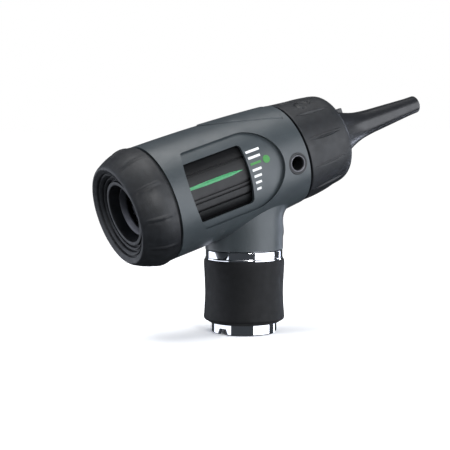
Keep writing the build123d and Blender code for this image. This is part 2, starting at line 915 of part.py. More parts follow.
# ---- Front grip: rubber skin on a plastic core that turns on the nose ----
grip_back = housing_front + grip_gap
grip_round_start = grip_front - grip_round
grip_slope = (grip_front_radius - grip_back_radius) / (grip_round_start - grip_back)
with BuildPart() as tip_grip:
    with BuildSketch(lengthwise(90)):
        with BuildLine():
            Polyline(
                (grip_front, grip_mouth_radius + mouth_chamfer),
                (grip_front - mouth_chamfer, grip_mouth_radius),
                (core_front, grip_mouth_radius),
                (core_front, grip_skin_radius),
                (grip_back, grip_skin_radius),
                (grip_back, grip_back_radius),
                (grip_round_start, grip_front_radius),
                (grip_front, grip_front_radius + grip_slope * grip_round),
                close=True,
            )
        make_face()
        outer_corner = vertices().group_by(Axis.X)[-1].sort_by(Axis.Y)[-1]
        fillet(outer_corner, radius=grip_round * 0.95)
    revolve(axis=barrel_axis)
    for turn in range(ridge_count):
        fin = ridge(
            grip_ridge_back,
            grip_ridge_front,
            grip_back_radius + grip_slope * (grip_ridge_back - grip_back),
            grip_back_radius + grip_slope * (grip_ridge_front - grip_back),
            ridge_height,
            grip_ridge_angle + 360 / ridge_count * turn,
        )
        add(fin.part)

core_points = [
    (core_back, nose_hub_radius + running_gap),
    (core_back, grip_skin_radius),
    (core_front, grip_skin_radius),
    (core_front, core_skirt_radius),
    (core_bore_end, core_skirt_radius),
    (core_bore_end, nose_hub_radius + running_gap),
]
ejector_slot_half_width = ejector_pin_radius + slot_gap
with BuildPart() as grip_core:
    add(turned(core_points).part)
    pocket = ring(
        core_back - overshoot,
        core_back + spring_pocket_depth,
        spring_pocket_radius,
        nose_hub_radius + spring_lip,
    )
    add(pocket.part, mode=Mode.SUBTRACT)
    ramp = helical_slot(
        (core_skirt_radius + grip_skin_radius) / 2,
        2 * overshoot,
        2 * ejector_slot_half_width,
        ejector_travel,
        grip_turn,
    )
    for side in (0, 180):
        with Locations(across(ejector_pin_station)):
            add(ramp, rotation=(0, 0, side), mode=Mode.SUBTRACT)

with BuildPart() as return_spring:
    coil_start = across(core_back + 2 * spring_wire)
    coil = Helix(
        pitch=spring_pitch,
        height=spring_pitch * spring_turns,
        radius=spring_radius,
        center=coil_start.origin,
        direction=coil_start.z_dir,
    )
    with BuildSketch(Plane(origin=coil @ 0, z_dir=coil % 0)):
        Circle(spring_wire)
    sweep(path=coil, is_frenet=True)

# ---- Ejector that pushes the speculum off ----
with BuildPart() as ejector_pins:
    for side in (0, 180):
        pin_origin = centre + along * ejector_pin_station
        with BuildSketch(Plane(origin=pin_origin, x_dir=along, z_dir=outward(side))):
            Circle(ejector_pin_radius)
        extrude(amount=ejector_pin_reach)
    pin_clearance = ring(
        ejector_back - overshoot, ejector_front + overshoot, nose_boss_radius + running_gap
    )
    add(pin_clearance.part, mode=Mode.SUBTRACT)

with BuildPart() as ejector_sleeve:
    add(ring(ejector_back, ejector_front, ejector_radius, nose_boss_radius + running_gap).part)
    add(ejector_pins.part, mode=Mode.SUBTRACT)

# ---- Speculum ----
speculum_shoulder = speculum_back + speculum_base_length
tip_start = speculum_tip - speculum_tip_length
with BuildPart() as speculum:
    with BuildSketch(lengthwise(90)):
        with BuildLine():
            base_side = Line(
                (speculum_back, speculum_base_radius), (speculum_shoulder, speculum_base_radius)
            )
            flare = Spline(base_side @ 1, *speculum_flare, tangents=[(1, 0), (1, -0.06)])
            outside = Polyline(
                flare @ 1,
                (tip_start, speculum_tip_radius + 0.1),
                (speculum_tip - 0.3, speculum_tip_radius),
                (speculum_tip, speculum_tip_radius - 0.25),
                (speculum_tip, speculum_tip_bore),
                (tip_start, speculum_tip_bore),
                (speculum_flare[-1][0], speculum_flare[-1][1] - speculum_wall),
            )
            inner_base = (speculum_shoulder, speculum_base_radius - speculum_wall)
            inside = [(s, r - speculum_wall) for s, r in reversed(speculum_flare[:-1])]
            inner_flare = Spline(
                outside @ 1, *inside, inner_base, tangents=[(-1, 0.06), (-1, 0)]
            )
            Polyline(
                inner_base, (speculum_back, speculum_base_radius - speculum_wall), base_side @ 0
            )
        make_face()
    revolve(axis=barrel_axis)
    with BuildSketch(lengthwise(lug_angle)):
        with BuildLine():
            Polyline(
                (lug_station, lug_reach),
                (lug_station + lug_length, lug_reach),
                (lug_station + lug_length, speculum_flare[1][1] - speculum_wall / 2),
                (lug_station, speculum_flare[1][1] + speculum_wall),
                close=True,
            )
        make_face()
    extrude(amount=lug_width / 2, both=True)

# ---- Neck, handle socket and sleeve ----
web_top = socket_bore_depth + socket_web
with BuildPart() as handle_socket:
    socket_points = [
        (socket_bore_radius, 0),
        (socket_radius - base_chamfer, 0),
        (socket_radius, base_chamfer),
        (socket_radius, socket_height),
        (socket_bore_radius, socket_height),
        (socket_bore_radius, web_top),
        (lamp_hole_radius, web_top),
        (lamp_hole_radius, socket_bore_depth),
        (socket_bore_radius, socket_bore_depth),
    ]
    add(upright(socket_points).part)
    for turn in range(notch_count):
        angle = radians(notch_angle + 360 / notch_count * turn)
        out = Vector(cos(angle), sin(angle), 0)
        sideways = out.cross(Vector(0, 0, -1))
        notch_plane = Plane(origin=out * (socket_bore_radius - overshoot), x_dir=sideways, z_dir=out)
        with BuildSketch(notch_plane):
            with BuildLine():
                half = notch_width / 2
                Polyline(
                    (-half - notch_spread, 0),
                    (-half - notch_spread, -overshoot),
                    (half + notch_spread, -overshoot),
                    (half + notch_spread, 0),
                    (half, notch_height),
                    (-half, notch_height),
                    close=True,
                )
            make_face()
        extrude(amount=socket_radius - socket_bore_radius + 2 * overshoot, mode=Mode.SUBTRACT)

with BuildPart() as grip_sleeve:
    with BuildSketch(Plane.XZ):
        with BuildLine():
            low = (sleeve_low_radius, sleeve_bottom + sleeve_foot_height)
            side_curve = ThreePointArc(
                low,
                (sleeve_waist_radius, (sleeve_bottom + sleeve_top) / 2),
                (sleeve_high_radius, sleeve_top - 0.3),
            )
            Polyline(
                side_curve @ 1,
                (sleeve_high_radius - 0.3, sleeve_top),
                (socket_radius, sleeve_top),
                (socket_radius, sleeve_bottom),
                (sleeve_foot_radius, sleeve_bottom),
                low,
            )
        make_face()
    revolve(axis=Axis.Z)

neck_ring = upright(
    [
        (socket_radius, sleeve_top),
        (neck_ring_radius + neck_ring_lip, sleeve_top),
        (neck_ring_radius + neck_ring_lip, sleeve_top + neck_ring_lip_height),
        (neck_ring_radius, sleeve_top + neck_ring_lip_height + neck_ring_lip),
        (neck_ring_radius, neck_ring_top - 0.25),
        (neck_ring_radius - 0.25, neck_ring_top),
        (socket_radius, neck_ring_top),
    ]
)

# ---- Lamp and its holder ----
lamp_base = upright(
    [
        (0, lamp_bottom),
        (lamp_radius, lamp_bottom),
        (lamp_radius, web_top),
        (lamp_collar_radius, web_top),
        (lamp_collar_radius, web_top + lamp_collar_height),
        (lamp_radius, web_top + lamp_collar_height),
        (lamp_radius, lamp_top),
        (0, lamp_top),
    ]
)
lamp_insulator = upright_ring(
    lamp_bottom - insulator_height, lamp_bottom, insulator_radius, contact_radius
)
lamp_contact = upright_ring(lamp_bottom - contact_height, lamp_bottom, contact_radius)
lamp_holder = upright(
    [
        (lamp_collar_radius, web_top),
        (socket_bore_radius, web_top),
        (socket_bore_radius, holder_top),
        (lamp_radius, holder_top),
        (lamp_radius, web_top + lamp_collar_height),
        (lamp_collar_radius, web_top + lamp_collar_height),
    ]
)
with BuildPart() as lamp_bulb:
    with BuildSketch(Plane.XZ):
        with BuildLine():
            glass_side = Line((bulb_radius, lamp_top), (bulb_radius, lamp_top + bulb_height))
            dome = ThreePointArc(
                glass_side @ 1,
                (
                    bulb_radius * cos(radians(45)),
                    lamp_top + bulb_height + bulb_radius * sin(radians(45)),
                ),
                (0, lamp_top + bulb_height + bulb_radius),
            )
            Polyline(dome @ 1, (0, lamp_top), glass_side @ 0)
        make_face()
    revolve(axis=Axis.Z)

# ---- Light guide from the lamp to the nose ----
plate_top = plate_bottom + plate_thickness
with BuildPart() as guide_plate:
    with BuildSketch(Plane.XY.offset(plate_bottom)):
        Circle(socket_bore_radius)
        with Locations((guide_x, 0)):
            Circle(ferrule_radius, mode=Mode.SUBTRACT)
    extrude(amount=plate_thickness)

with BuildPart() as guide_ferrule:
    with BuildSketch(Plane.XY.offset(plate_bottom)):
        with Locations((guide_x, 0)):
            Circle(ferrule_radius)
            Circle(guide_radius, mode=Mode.SUBTRACT)
    extrude(amount=ferrule_top - plate_bottom)

guide_start = Vector(guide_x, 0, plate_bottom)
guide_depth = tube_radius + guide_clearance + guide_radius
guide_line_start = centre - above * guide_depth
corner_station = (guide_x - guide_line_start.X) / along.X
guide_corner = guide_line_start + along * corner_station
guide_end = guide_line_start + along * interior_front
with BuildPart() as light_guide:
    with BuildLine() as guide_path:
        FilletPolyline(guide_start, guide_corner, guide_end, radius=guide_bend)
    with BuildSketch(Plane.XY.offset(plate_bottom)):
        with Locations((guide_x, 0)):
            Circle(guide_radius)
    sweep(path=guide_path.line)

# ---- Insufflation port ----
with BuildPart() as port_fitting:
    add(port_cylinder(port_inner_end, port_face, port_radius).part)
    port_passage = port_cylinder(port_inner_end - overshoot, port_face + overshoot, port_bore)
    add(port_passage.part, mode=Mode.SUBTRACT)

with BuildPart() as port_seal:
    add(port_cylinder(port_face - port_ring_depth, port_face, port_ring_radius).part)
    add(port_cylinder(0, port_face + overshoot, port_radius).part, mode=Mode.SUBTRACT)

# ---- Files ----
pieces = {
    "housing_right": housing_right,
    "housing_left": housing_left,
    "housing_dowels": housing_dowels,
    "top_panel": top_panel,
    "scale_marks": scale_marks,
    "best_focus_marks": best_focus_marks,
    "eyecup": eyecup,
    "eyepiece_ring": eyepiece_ring,
    "eyepiece_lens": eyepiece_lens,
    "lens_tube": lens_tube,
    "friction_ring": friction_ring,
    "wheel_spacer": wheel_spacer,
    "focus_wheel": focus_wheel,
    "index_lines": index_lines,
    "lens_carriage": lens_carriage,
    "focus_lens": focus_lens,
    "cam_pins": cam_pins,
    "nose_cone": nose_cone,
    "nose_gasket": nose_gasket,
    "nose_screws": nose_screws,
    "light_ring": light_ring,
    "objective_lens": objective_lens,
    "objective_ring": objective_ring,
    "grip_circlip": grip_circlip,
    "tip_grip": tip_grip,
    "grip_core": grip_core,
    "return_spring": return_spring,
    "ejector_sleeve": ejector_sleeve,
    "ejector_pins": ejector_pins,
    "speculum": speculum,
    "handle_socket": handle_socket,
    "grip_sleeve": grip_sleeve,
    "neck_ring": neck_ring,
    "lamp_base": lamp_base,
    "lamp_insulator": lamp_insulator,
    "lamp_contact": lamp_contact,
    "lamp_holder": lamp_holder,
    "lamp_bulb": lamp_bulb,
    "guide_plate": guide_plate,
    "guide_ferrule": guide_ferrule,
    "light_guide": light_guide,
    "port_fitting": port_fitting,
    "port_seal": port_seal,
}
os.makedirs("parts", exist_ok=True)
for name, piece in pieces.items():
    piece.part.label = name
    export_step(piece.part, f"parts/{name}.step")
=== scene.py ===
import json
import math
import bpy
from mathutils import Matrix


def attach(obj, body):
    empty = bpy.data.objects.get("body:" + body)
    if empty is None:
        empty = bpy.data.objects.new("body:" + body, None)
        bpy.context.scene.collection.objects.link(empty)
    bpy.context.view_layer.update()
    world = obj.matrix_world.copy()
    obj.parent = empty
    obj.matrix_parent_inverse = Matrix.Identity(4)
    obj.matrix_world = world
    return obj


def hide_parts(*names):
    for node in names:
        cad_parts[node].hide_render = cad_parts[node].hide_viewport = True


bl_info = {
    "name": "Otoscope head",
    "version": (1, 0, 0),
    "blender": (4, 5, 0),
    "location": "View3D > Sidebar > Otoscope",
    "description": "Finishes the packed otoscope head: rubber, mouldings, plating, print and a stage",
    "category": "Object",
}

import bmesh
import bpy
from mathutils import Matrix, Vector
from mathutils.geometry import intersect_point_line

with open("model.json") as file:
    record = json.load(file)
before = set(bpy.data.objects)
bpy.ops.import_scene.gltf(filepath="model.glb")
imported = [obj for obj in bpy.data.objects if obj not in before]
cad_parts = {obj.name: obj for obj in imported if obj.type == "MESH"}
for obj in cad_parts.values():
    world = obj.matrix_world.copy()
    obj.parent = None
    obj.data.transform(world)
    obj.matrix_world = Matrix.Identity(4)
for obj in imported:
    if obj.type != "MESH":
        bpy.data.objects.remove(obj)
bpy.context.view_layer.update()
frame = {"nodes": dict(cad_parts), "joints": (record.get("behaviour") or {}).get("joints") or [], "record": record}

MM = 0.001
joints = {joint["name"]: joint for joint in frame["joints"]}

# The barrel runs along the focus wheel's axis. Stations are millimetres along it, towards the
# speculum, and angles go round it: 0 is the right-hand side, 90 is up.
barrel_centre = Vector(joints["focus_turn"]["pos_m"])
along = Vector(joints["focus_turn"]["axis"]).normalized()
right_side = Vector((0, -1, 0))
above = right_side.cross(along)
neck_foot = Vector((0, 0, 0))
upwards = Vector((0, 0, 1))


def linear(code):
    """Linear red, green and blue of an sRGB hex code."""
    parts = [int(code[i : i + 2], 16) / 255 for i in (1, 3, 5)]
    return tuple(p / 12.92 if p <= 0.04045 else ((p + 0.055) / 1.055) ** 2.4 for p in parts)


def outward(angle):
    """Direction square to the barrel at an angle round it."""
    turn = math.radians(angle)
    return right_side * math.cos(turn) + above * math.sin(turn)


def barrel_place(point):
    """Station, angle and radius of a point, in millimetres and degrees."""
    offset = point - barrel_centre
    station = offset.dot(along)
    out = offset - along * station
    angle = math.degrees(math.atan2(out.dot(above), out.dot(right_side)))
    return station / MM, angle, out.length / MM


def between(angle, other):
    """Signed difference of two angles, from -180 to 180 degrees."""
    return (angle - other + 180) % 360 - 180


# ---- Settings ----


def colour(name, description, code):
    """A colour setting whose default is an sRGB hex code."""
    return bpy.props.FloatVectorProperty(
        name=name, description=description, subtype="COLOR", size=3, min=0, max=1, default=linear(code)
    )


def length(name, description, millimetres):
    """A length setting whose default is in millimetres."""
    return bpy.props.FloatProperty(
        name=name, description=description, unit="LENGTH", min=0, precision=5, default=millimetres * MM
    )


class OtoscopeFinishes(bpy.types.PropertyGroup):
    """Colours of the otoscope's materials."""

    housing: colour("Housing", "Grey-green of the moulded shells", "#40474B")
    housing_dark: colour("Housing, darker", "Second tone of the housing's faint mottle", "#3A4145")
    rubber: colour("Rubber", "Eyecup and front grip", "#14161A")
    # The paler rubber tone is painted sheen: patches spread at random that stand for the rubber's patchy sheen
    rubber_pale: colour("Rubber, paler", "Handled and dusty patches of the rubber", "#1E2125")
    wheel: colour("Focus wheel", "Near-black of the moulded wheel", "#121315")
    index: colour("Index line", "Green of the pointer on the wheel", "#3C9A62")
    white_ink: colour("White ink", "Printed bars of the scale", "#F2F4F4")
    green_ink: colour("Green ink", "Printed bar and dot of the resting focus", "#3C8C3E")
    foam: colour("Sleeve", "Foam rubber round the neck", "#131416")
    chrome: colour("Chrome", "Plated rings", "#DADBDF")
    steel: colour("Steel", "Turned rings, pins and screws", "#807F88")
    nickel: colour("Blasted nickel", "Port tube and retaining ring", "#68686C")
    anodised: colour("Black anodised", "Lens tube, carriage and nose", "#17181A")
    speculum: colour("Speculum", "Dark grey of the speculum", "#212225")
    brass: colour("Brass", "Lamp base and contact", "#B8924A")
    glass: colour("Glass", "Faint coating tint of the lenses", "#DDE3F2")
    glass_pale: colour("Glass, paler", "Second tone of the tint", "#E6E9F0")
    inner: colour("Inner plastic", "Plain parts inside", "#2B2C2E")
    inner_pale: colour("Inner plastic, paler", "Second tone of the plain parts inside", "#343537")
    fibre: colour("Fibre ends", "Polished ends of the light guide", "#EDEBDD")
    fibre_resin: colour("Fibre resin", "Resin between the fibre ends", "#A9A692")


class OtoscopeSizes(bpy.types.PropertyGroup):
    """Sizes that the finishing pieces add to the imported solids."""

    edge_round: length("Moulded edges", "Rounding of the housing's edges", 0.22)
    rib_height: length("Rib height", "How far the rubber ribs stand proud", 0.5)
    rib_width: length("Rib width", "Widest part of a rubber rib", 1.0)
    mark_depth: length("Mark depth", "Depth of the turn mark sunk in the grip", 0.35)
    index_crown: length("Index crown", "How far the index line's ridge stands proud", 0.3)


class OtoscopeStage(bpy.types.PropertyGroup):
    """Camera, floor and lights."""

    azimuth: bpy.props.FloatProperty(
        name="Azimuth", description="Camera's angle round the object, in degrees", default=-29.58
    )
    elevation: bpy.props.FloatProperty(
        name="Elevation", description="Camera's angle above the floor, in degrees", default=4.77
    )
    distance: length("Distance", "From the camera to the point that it looks at", 420)
    lens: bpy.props.FloatProperty(
        name="Lens", description="Focal length on a 36 mm wide sensor", default=107.1
    )
    floor_white: bpy.props.FloatProperty(
        name="Floor white", description="How white the floor looks to the camera", default=1.6
    )


# ---- Materials ----


def add_node(tree, kind, inputs=None, **settings):
    """Adds a node. Each input is a value, or an output of another node that is linked to it."""
    node = tree.nodes.new("ShaderNode" + kind)
    for name, value in settings.items():
        setattr(node, name, value)
    for name, value in (inputs or {}).items():
        if isinstance(value, bpy.types.NodeSocket):
            tree.links.new(value, node.inputs[name])
        else:
            node.inputs[name].default_value = value
    return node


def blank_material(name, **shader_values):
    """A new material with a Principled shader, and its tree and its object coordinates."""
    material = bpy.data.materials.new(name)
    material.use_nodes = True
    tree = material.node_tree
    shader = tree.nodes["Principled BSDF"]
    for socket, value in shader_values.items():
        shader.inputs[socket.replace("_", " ")].default_value = value
    place = add_node(tree, "TexCoord").outputs["Object"]
    return material, tree, shader, place


def mottle(tree, place, patch, first, second, low=0.35, high=0.65, detail=3.0):
    """Two tones mixed in soft patches of a size in millimetres."""
    patches = add_node(
        tree, "TexNoise", {"Vector": place, "Scale": 1 / (patch * MM), "Detail": detail}
    )
    share = add_node(
        tree, "MapRange", {"Value": patches.outputs["Fac"], "From Min": low, "From Max": high}
    )
    return add_node(
        tree,
        "Mix",
        {"Factor": share.outputs["Result"], "A": (*first, 1), "B": (*second, 1)},
        data_type="RGBA",
    ).outputs[2]


def uneven(tree, place, patch, low, high):
    """A value that drifts between two limits in patches of a size in millimetres."""
    patches = add_node(tree, "TexNoise", {"Vector": place, "Scale": 1 / (patch * MM), "Detail": 4.0})
    return add_node(
        tree,
        "MapRange",
        {"Value": patches.outputs["Fac"], "From Min": 0.3, "From Max": 0.7, "To Min": low, "To Max": high},
    ).outputs["Result"]


def grained(tree, shader, height, depth, strength=1.0):
    """Bump of the given real depth in millimetres."""
    bump = add_node(tree, "Bump", {"Height": height, "Distance": depth * MM, "Strength": strength})
    tree.links.new(bump.outputs["Normal"], shader.inputs["Normal"])


def moulded_abs():
    """ABS from a spark-eroded mould: satin, with an even fine grain and a faint mottle."""
    tones = bpy.context.scene.otoscope_finishes
    material, tree, shader, place = blank_material("moulded_abs", IOR=1.53)
    tone = mottle(tree, place, 9.0, tones.housing, tones.housing_dark)
    tree.links.new(tone, shader.inputs["Base Color"])
    tree.links.new(uneven(tree, place, 4.0, 0.36, 0.46), shader.inputs["Roughness"])
    # The mould's grain is about 0.08 mm, drawn at 0.28 mm so that it shows
    grain = add_node(tree, "TexNoise", {"Vector": place, "Scale": 1 / (0.28 * MM), "Detail": 2.0})
    grained(tree, shader, grain.outputs["Fac"], 0.012)
    return material


def soft_touch_rubber():
    """Thermoplastic rubber: matt, slightly pebbled, with paler patches spread at random that are painted sheen."""
    tones = bpy.context.scene.otoscope_finishes
    material, tree, shader, place = blank_material("soft_touch_rubber", IOR=1.5)
    # Paler patches spread at random: painted sheen of the rubber
    tone = mottle(tree, place, 2.2, tones.rubber, tones.rubber_pale, 0.4, 0.75, 5.0)
    tree.links.new(tone, shader.inputs["Base Color"])
    tree.links.new(uneven(tree, place, 3.0, 0.48, 0.6), shader.inputs["Roughness"])
    # The pebble is about 0.15 mm, drawn at 0.4 mm so that it shows
    pebble = add_node(tree, "TexVoronoi", {"Vector": place, "Scale": 1 / (0.4 * MM)})
    grained(tree, shader, pebble.outputs["Distance"], 0.018, 0.7)
    return material


def moulded_acetal():
    """Acetal, as-moulded: near-black and waxy, with soft clear reflections."""
    tones = bpy.context.scene.otoscope_finishes
    material, tree, shader, place = blank_material("moulded_acetal", IOR=1.42)
    tone = mottle(tree, place, 5.0, tones.wheel, [0.8 * part for part in tones.wheel])
    tree.links.new(tone, shader.inputs["Base Color"])
    tree.links.new(uneven(tree, place, 2.5, 0.4, 0.5), shader.inputs["Roughness"])
    flow = add_node(tree, "TexNoise", {"Vector": place, "Scale": 1 / (0.9 * MM), "Detail": 3.0})
    grained(tree, shader, flow.outputs["Fac"], 0.003)
    return material


def green_enamel():
    """Enamel filled flush and polished: bright green under a thin clear gloss."""
    tones = bpy.context.scene.otoscope_finishes
    material, tree, shader, place = blank_material("green_enamel", IOR=1.5, Coat_Weight=0.3)
    tone = mottle(tree, place, 1.5, tones.index, [0.86 * part for part in tones.index])
    tree.links.new(tone, shader.inputs["Base Color"])
    tree.links.new(uneven(tree, place, 1.5, 0.32, 0.42), shader.inputs["Roughness"])
    return material


def printing_ink(name, tone):
    """Pad-printed ink: thin and opaque, with a slightly uneven film."""
    material, tree, shader, place = blank_material(name, IOR=1.5)
    film = mottle(tree, place, 0.5, tone, [0.9 * part for part in tone])
    tree.links.new(film, shader.inputs["Base Color"])
    tree.links.new(uneven(tree, place, 0.7, 0.45, 0.6), shader.inputs["Roughness"])
    return material


def white_ink():
    """White bars of the focus scale."""
    return printing_ink("white_ink", bpy.context.scene.otoscope_finishes.white_ink)


def green_ink():
    """Green bar and dot of the resting focus."""
    return printing_ink("green_ink", bpy.context.scene.otoscope_finishes.green_ink)


def foam_rubber():
    """Closed-cell neoprene sleeve: dead matt, with fine open pores on its skin."""
    tones = bpy.context.scene.otoscope_finishes
    material, tree, shader, place = blank_material(
        "foam_rubber", IOR=1.32, Sheen_Weight=0.05, Sheen_Roughness=0.5
    )
    tone = mottle(tree, place, 3.0, tones.foam, [1.25 * part for part in tones.foam])
    tree.links.new(tone, shader.inputs["Base Color"])
    tree.links.new(uneven(tree, place, 2.0, 0.6, 0.7), shader.inputs["Roughness"])
    # Pores are about 0.1 mm, drawn at 0.35 mm so that they show
    pores = add_node(tree, "TexNoise", {"Vector": place, "Scale": 1 / (0.35 * MM), "Detail": 3.0})
    grained(tree, shader, pores.outputs["Fac"], 0.02)
    return material


def polished_chrome():
    """Decorative chrome plate: mirror bright, with a trace of wiping marks."""
    tones = bpy.context.scene.otoscope_finishes
    material, tree, shader, place = blank_material("polished_chrome", Metallic=1.0)
    tone = mottle(tree, place, 3.0, tones.chrome, [0.94 * part for part in tones.chrome])
    tree.links.new(tone, shader.inputs["Base Color"])
    tree.links.new(uneven(tree, place, 1.8, 0.03, 0.08), shader.inputs["Roughness"])
    return material


def turned_metal(name, tone, low, high, **shader_values):
    """Metal turned on a lathe: fine rings round the barrel's axis."""
    material, tree, shader, place = blank_material(name, Metallic=1.0, **shader_values)
    patches = mottle(tree, place, 1.2, tone, [0.88 * part for part in tone])
    tree.links.new(patches, shader.inputs["Base Color"])
    tree.links.new(uneven(tree, place, 1.0, low, high), shader.inputs["Roughness"])
    # The tool's feed is about 0.08 mm a turn, drawn at 0.3 mm so that it shows
    from_axis = add_node(
        tree,
        "Mapping",
        {
            "Vector": place,
            "Location": barrel_centre,
            "Rotation": (0, -math.atan2(along.z, along.x), 0),
        },
        vector_type="TEXTURE",
    )
    rings = add_node(
        tree,
        "TexWave",
        {"Vector": from_axis.outputs["Vector"], "Scale": math.pi / 10 / (0.3 * MM), "Distortion": 0.4},
        wave_type="RINGS",
        rings_direction="X",
    )
    grained(tree, shader, rings.outputs["Fac"], 0.004)
    return material


def turned_steel():
    """Stainless steel, turned."""
    return turned_metal("turned_steel", bpy.context.scene.otoscope_finishes.steel, 0.2, 0.32)


def blasted_nickel():
    """Nickel plate over a blasted surface: mid grey, with a wide soft shine."""
    return turned_metal("blasted_nickel", bpy.context.scene.otoscope_finishes.nickel, 0.45, 0.55)


def turned_brass():
    """Brass, turned."""
    return turned_metal("turned_brass", bpy.context.scene.otoscope_finishes.brass, 0.2, 0.3)


def anodised_aluminium():
    """Black anodised aluminium: deep matt black in faint patches."""
    tones = bpy.context.scene.otoscope_finishes
    material, tree, shader, place = blank_material("anodised_aluminium", IOR=1.6)
    tone = mottle(tree, place, 2.0, tones.anodised, [0.7 * part for part in tones.anodised])
    tree.links.new(tone, shader.inputs["Base Color"])
    tree.links.new(uneven(tree, place, 1.2, 0.38, 0.5), shader.inputs["Roughness"])
    return material


def optical_glass():
    """Polished crown glass with a faint coating tint."""
    tones = bpy.context.scene.otoscope_finishes
    material, tree, shader, place = blank_material(
        "optical_glass", IOR=1.52, Transmission_Weight=1.0, Roughness=0.02
    )
    tint = mottle(tree, place, 6.0, tones.glass, tones.glass_pale)
    tree.links.new(tint, shader.inputs["Base Color"])
    return material


def speculum_plastic():
    """Polypropylene, injection moulded and glossy, with faint lengthwise flow."""
    tones = bpy.context.scene.otoscope_finishes
    material, tree, shader, place = blank_material("speculum_plastic", IOR=1.49)
    tone = mottle(tree, place, 4.0, tones.speculum, [0.85 * part for part in tones.speculum])
    tree.links.new(tone, shader.inputs["Base Color"])
    tree.links.new(uneven(tree, place, 2.0, 0.28, 0.38), shader.inputs["Roughness"])
    flow = add_node(tree, "TexNoise", {"Vector": place, "Scale": 1 / (0.8 * MM), "Detail": 2.0})
    grained(tree, shader, flow.outputs["Fac"], 0.006)
    return material


def inner_plastic():
    """Plain moulded plastic of the parts inside."""
    tones = bpy.context.scene.otoscope_finishes
    material, tree, shader, place = blank_material("inner_plastic", IOR=1.5)
    tone = mottle(tree, place, 3.0, tones.inner, tones.inner_pale)
    tree.links.new(tone, shader.inputs["Base Color"])
    tree.links.new(uneven(tree, place, 2.0, 0.45, 0.6), shader.inputs["Roughness"])
    return material


def fibre_ends():
    """Polished ends of glass fibres set in resin: pale, with a fine dotted grain."""
    tones = bpy.context.scene.otoscope_finishes
    material, tree, shader, place = blank_material("fibre_ends", IOR=1.52, Coat_Weight=0.5)
    # Fibres are 0.05 mm, drawn at 0.2 mm so that they show
    dots = add_node(tree, "TexVoronoi", {"Vector": place, "Scale": 1 / (0.2 * MM)})
    tone = add_node(
        tree,
        "Mix",
        {"Factor": dots.outputs["Distance"], "A": (*tones.fibre, 1), "B": (*tones.fibre_resin, 1)},
        data_type="RGBA",
    )
    tree.links.new(tone.outputs[2], shader.inputs["Base Color"])
    tree.links.new(uneven(tree, place, 1.0, 0.15, 0.25), shader.inputs["Roughness"])
    return material


FINISHES = {
    "housing_grey": moulded_abs,
    "soft_black": soft_touch_rubber,
    "wheel_black": moulded_acetal,
    "index_green": green_enamel,
    "print_white": white_ink,
    "print_green": green_ink,
    "chrome": polished_chrome,
    "turned_steel": turned_steel,
    "blasted_nickel": blasted_nickel,
    "black_aluminium": anodised_aluminium,
    "clear_glass": optical_glass,
    "speculum_grey": speculum_plastic,
    "inner_plastic": inner_plastic,
    "brass": turned_brass,
    "fibre": fibre_ends,
    "sleeve_foam": foam_rubber,
}


def finish_for(slot):
    """The material of a finish, made the first time that it is asked for."""
    maker = FINISHES[slot]
    return bpy.data.materials.get(maker.__name__) or maker()


# ---- Making pieces ----


def finish_nodes(slot, *nodes):
    """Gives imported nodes, as they are, the material of a slot."""
    for node in nodes:
        shown = frame["nodes"][node]
        for place in shown.material_slots:
            place.material = finish_for(slot)


def finished(name, bm, nodes, body, slot, finish=None):
    """Makes a piece of a bmesh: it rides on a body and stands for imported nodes."""
    mesh = bpy.data.meshes.new(name)
    bm.to_mesh(mesh)
    bm.free()
    piece = bpy.data.objects.new(name, mesh)
    bpy.context.scene.collection.objects.link(piece)
    mesh.materials.append(finish_for(finish or slot))
    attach(piece, body)
    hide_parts(*nodes)
    return piece


def crease(bm, angle):
    """Shades faces smooth, with a crisp edge wherever two meet at more than an angle."""
    for face in bm.faces:
        face.smooth = True
    for edge in bm.edges:
        edge.smooth = edge.calc_face_angle(0.0) < math.radians(angle)


def wire(bm, rows, start, direction, side, longest=None):
    """Closed profile from rows of station, radius and rounding in millimetres."""
    corners = [
        bm.verts.new(start + direction * station * MM + side * radius * MM) for station, radius, _ in rows
    ]
    for first, second in zip(corners, corners[1:] + corners[:1]):
        bm.edges.new((first, second))
    for rounding in sorted({row[2] for row in rows if row[2]}):
        chosen = [corner for corner, row in zip(corners, rows) if row[2] == rounding]
        bmesh.ops.bevel(
            bm,
            geom=chosen,
            offset=rounding * MM,
            offset_type="OFFSET",
            segments=3 if rounding < 0.4 else 7,
            profile=0.5,
            affect="VERTICES",
            material=-1,
        )
    if longest:
        for edge in list(bm.edges):
            cuts = int(edge.calc_length() / (longest * MM))
            if cuts:
                bmesh.ops.subdivide_edges(bm, edges=[edge], cuts=cuts)


def turned(rows, steps, start=barrel_centre, direction=along, side=right_side, longest=None):
    """Closed ring of a profile turned about a line."""
    bm = bmesh.new()
    wire(bm, rows, start, direction, side, longest)
    bmesh.ops.spin(
        bm,
        geom=bm.verts[:] + bm.edges[:],
        cent=start,
        axis=direction,
        angle=math.tau,
        steps=steps,
        use_merge=True,
    )
    bmesh.ops.remove_doubles(bm, verts=bm.verts, dist=1e-7)
    bmesh.ops.recalc_face_normals(bm, faces=bm.faces)
    return bm


def rounded_copy(name, node, width, body, slot, segments=3, limit=30):
    """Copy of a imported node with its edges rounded."""
    bm = bmesh.new()
    bm.from_mesh(frame["nodes"][node].data)
    bmesh.ops.remove_doubles(bm, verts=bm.verts, dist=1e-6)
    crease(bm, limit)
    piece = finished(name, bm, [node], body, slot)
    rounding = piece.modifiers.new("rounded_edges", "BEVEL")
    rounding.width = width
    rounding.segments = segments
    rounding.limit_method = "ANGLE"
    rounding.angle_limit = math.radians(limit)
    rounding.harden_normals = True
    return piece


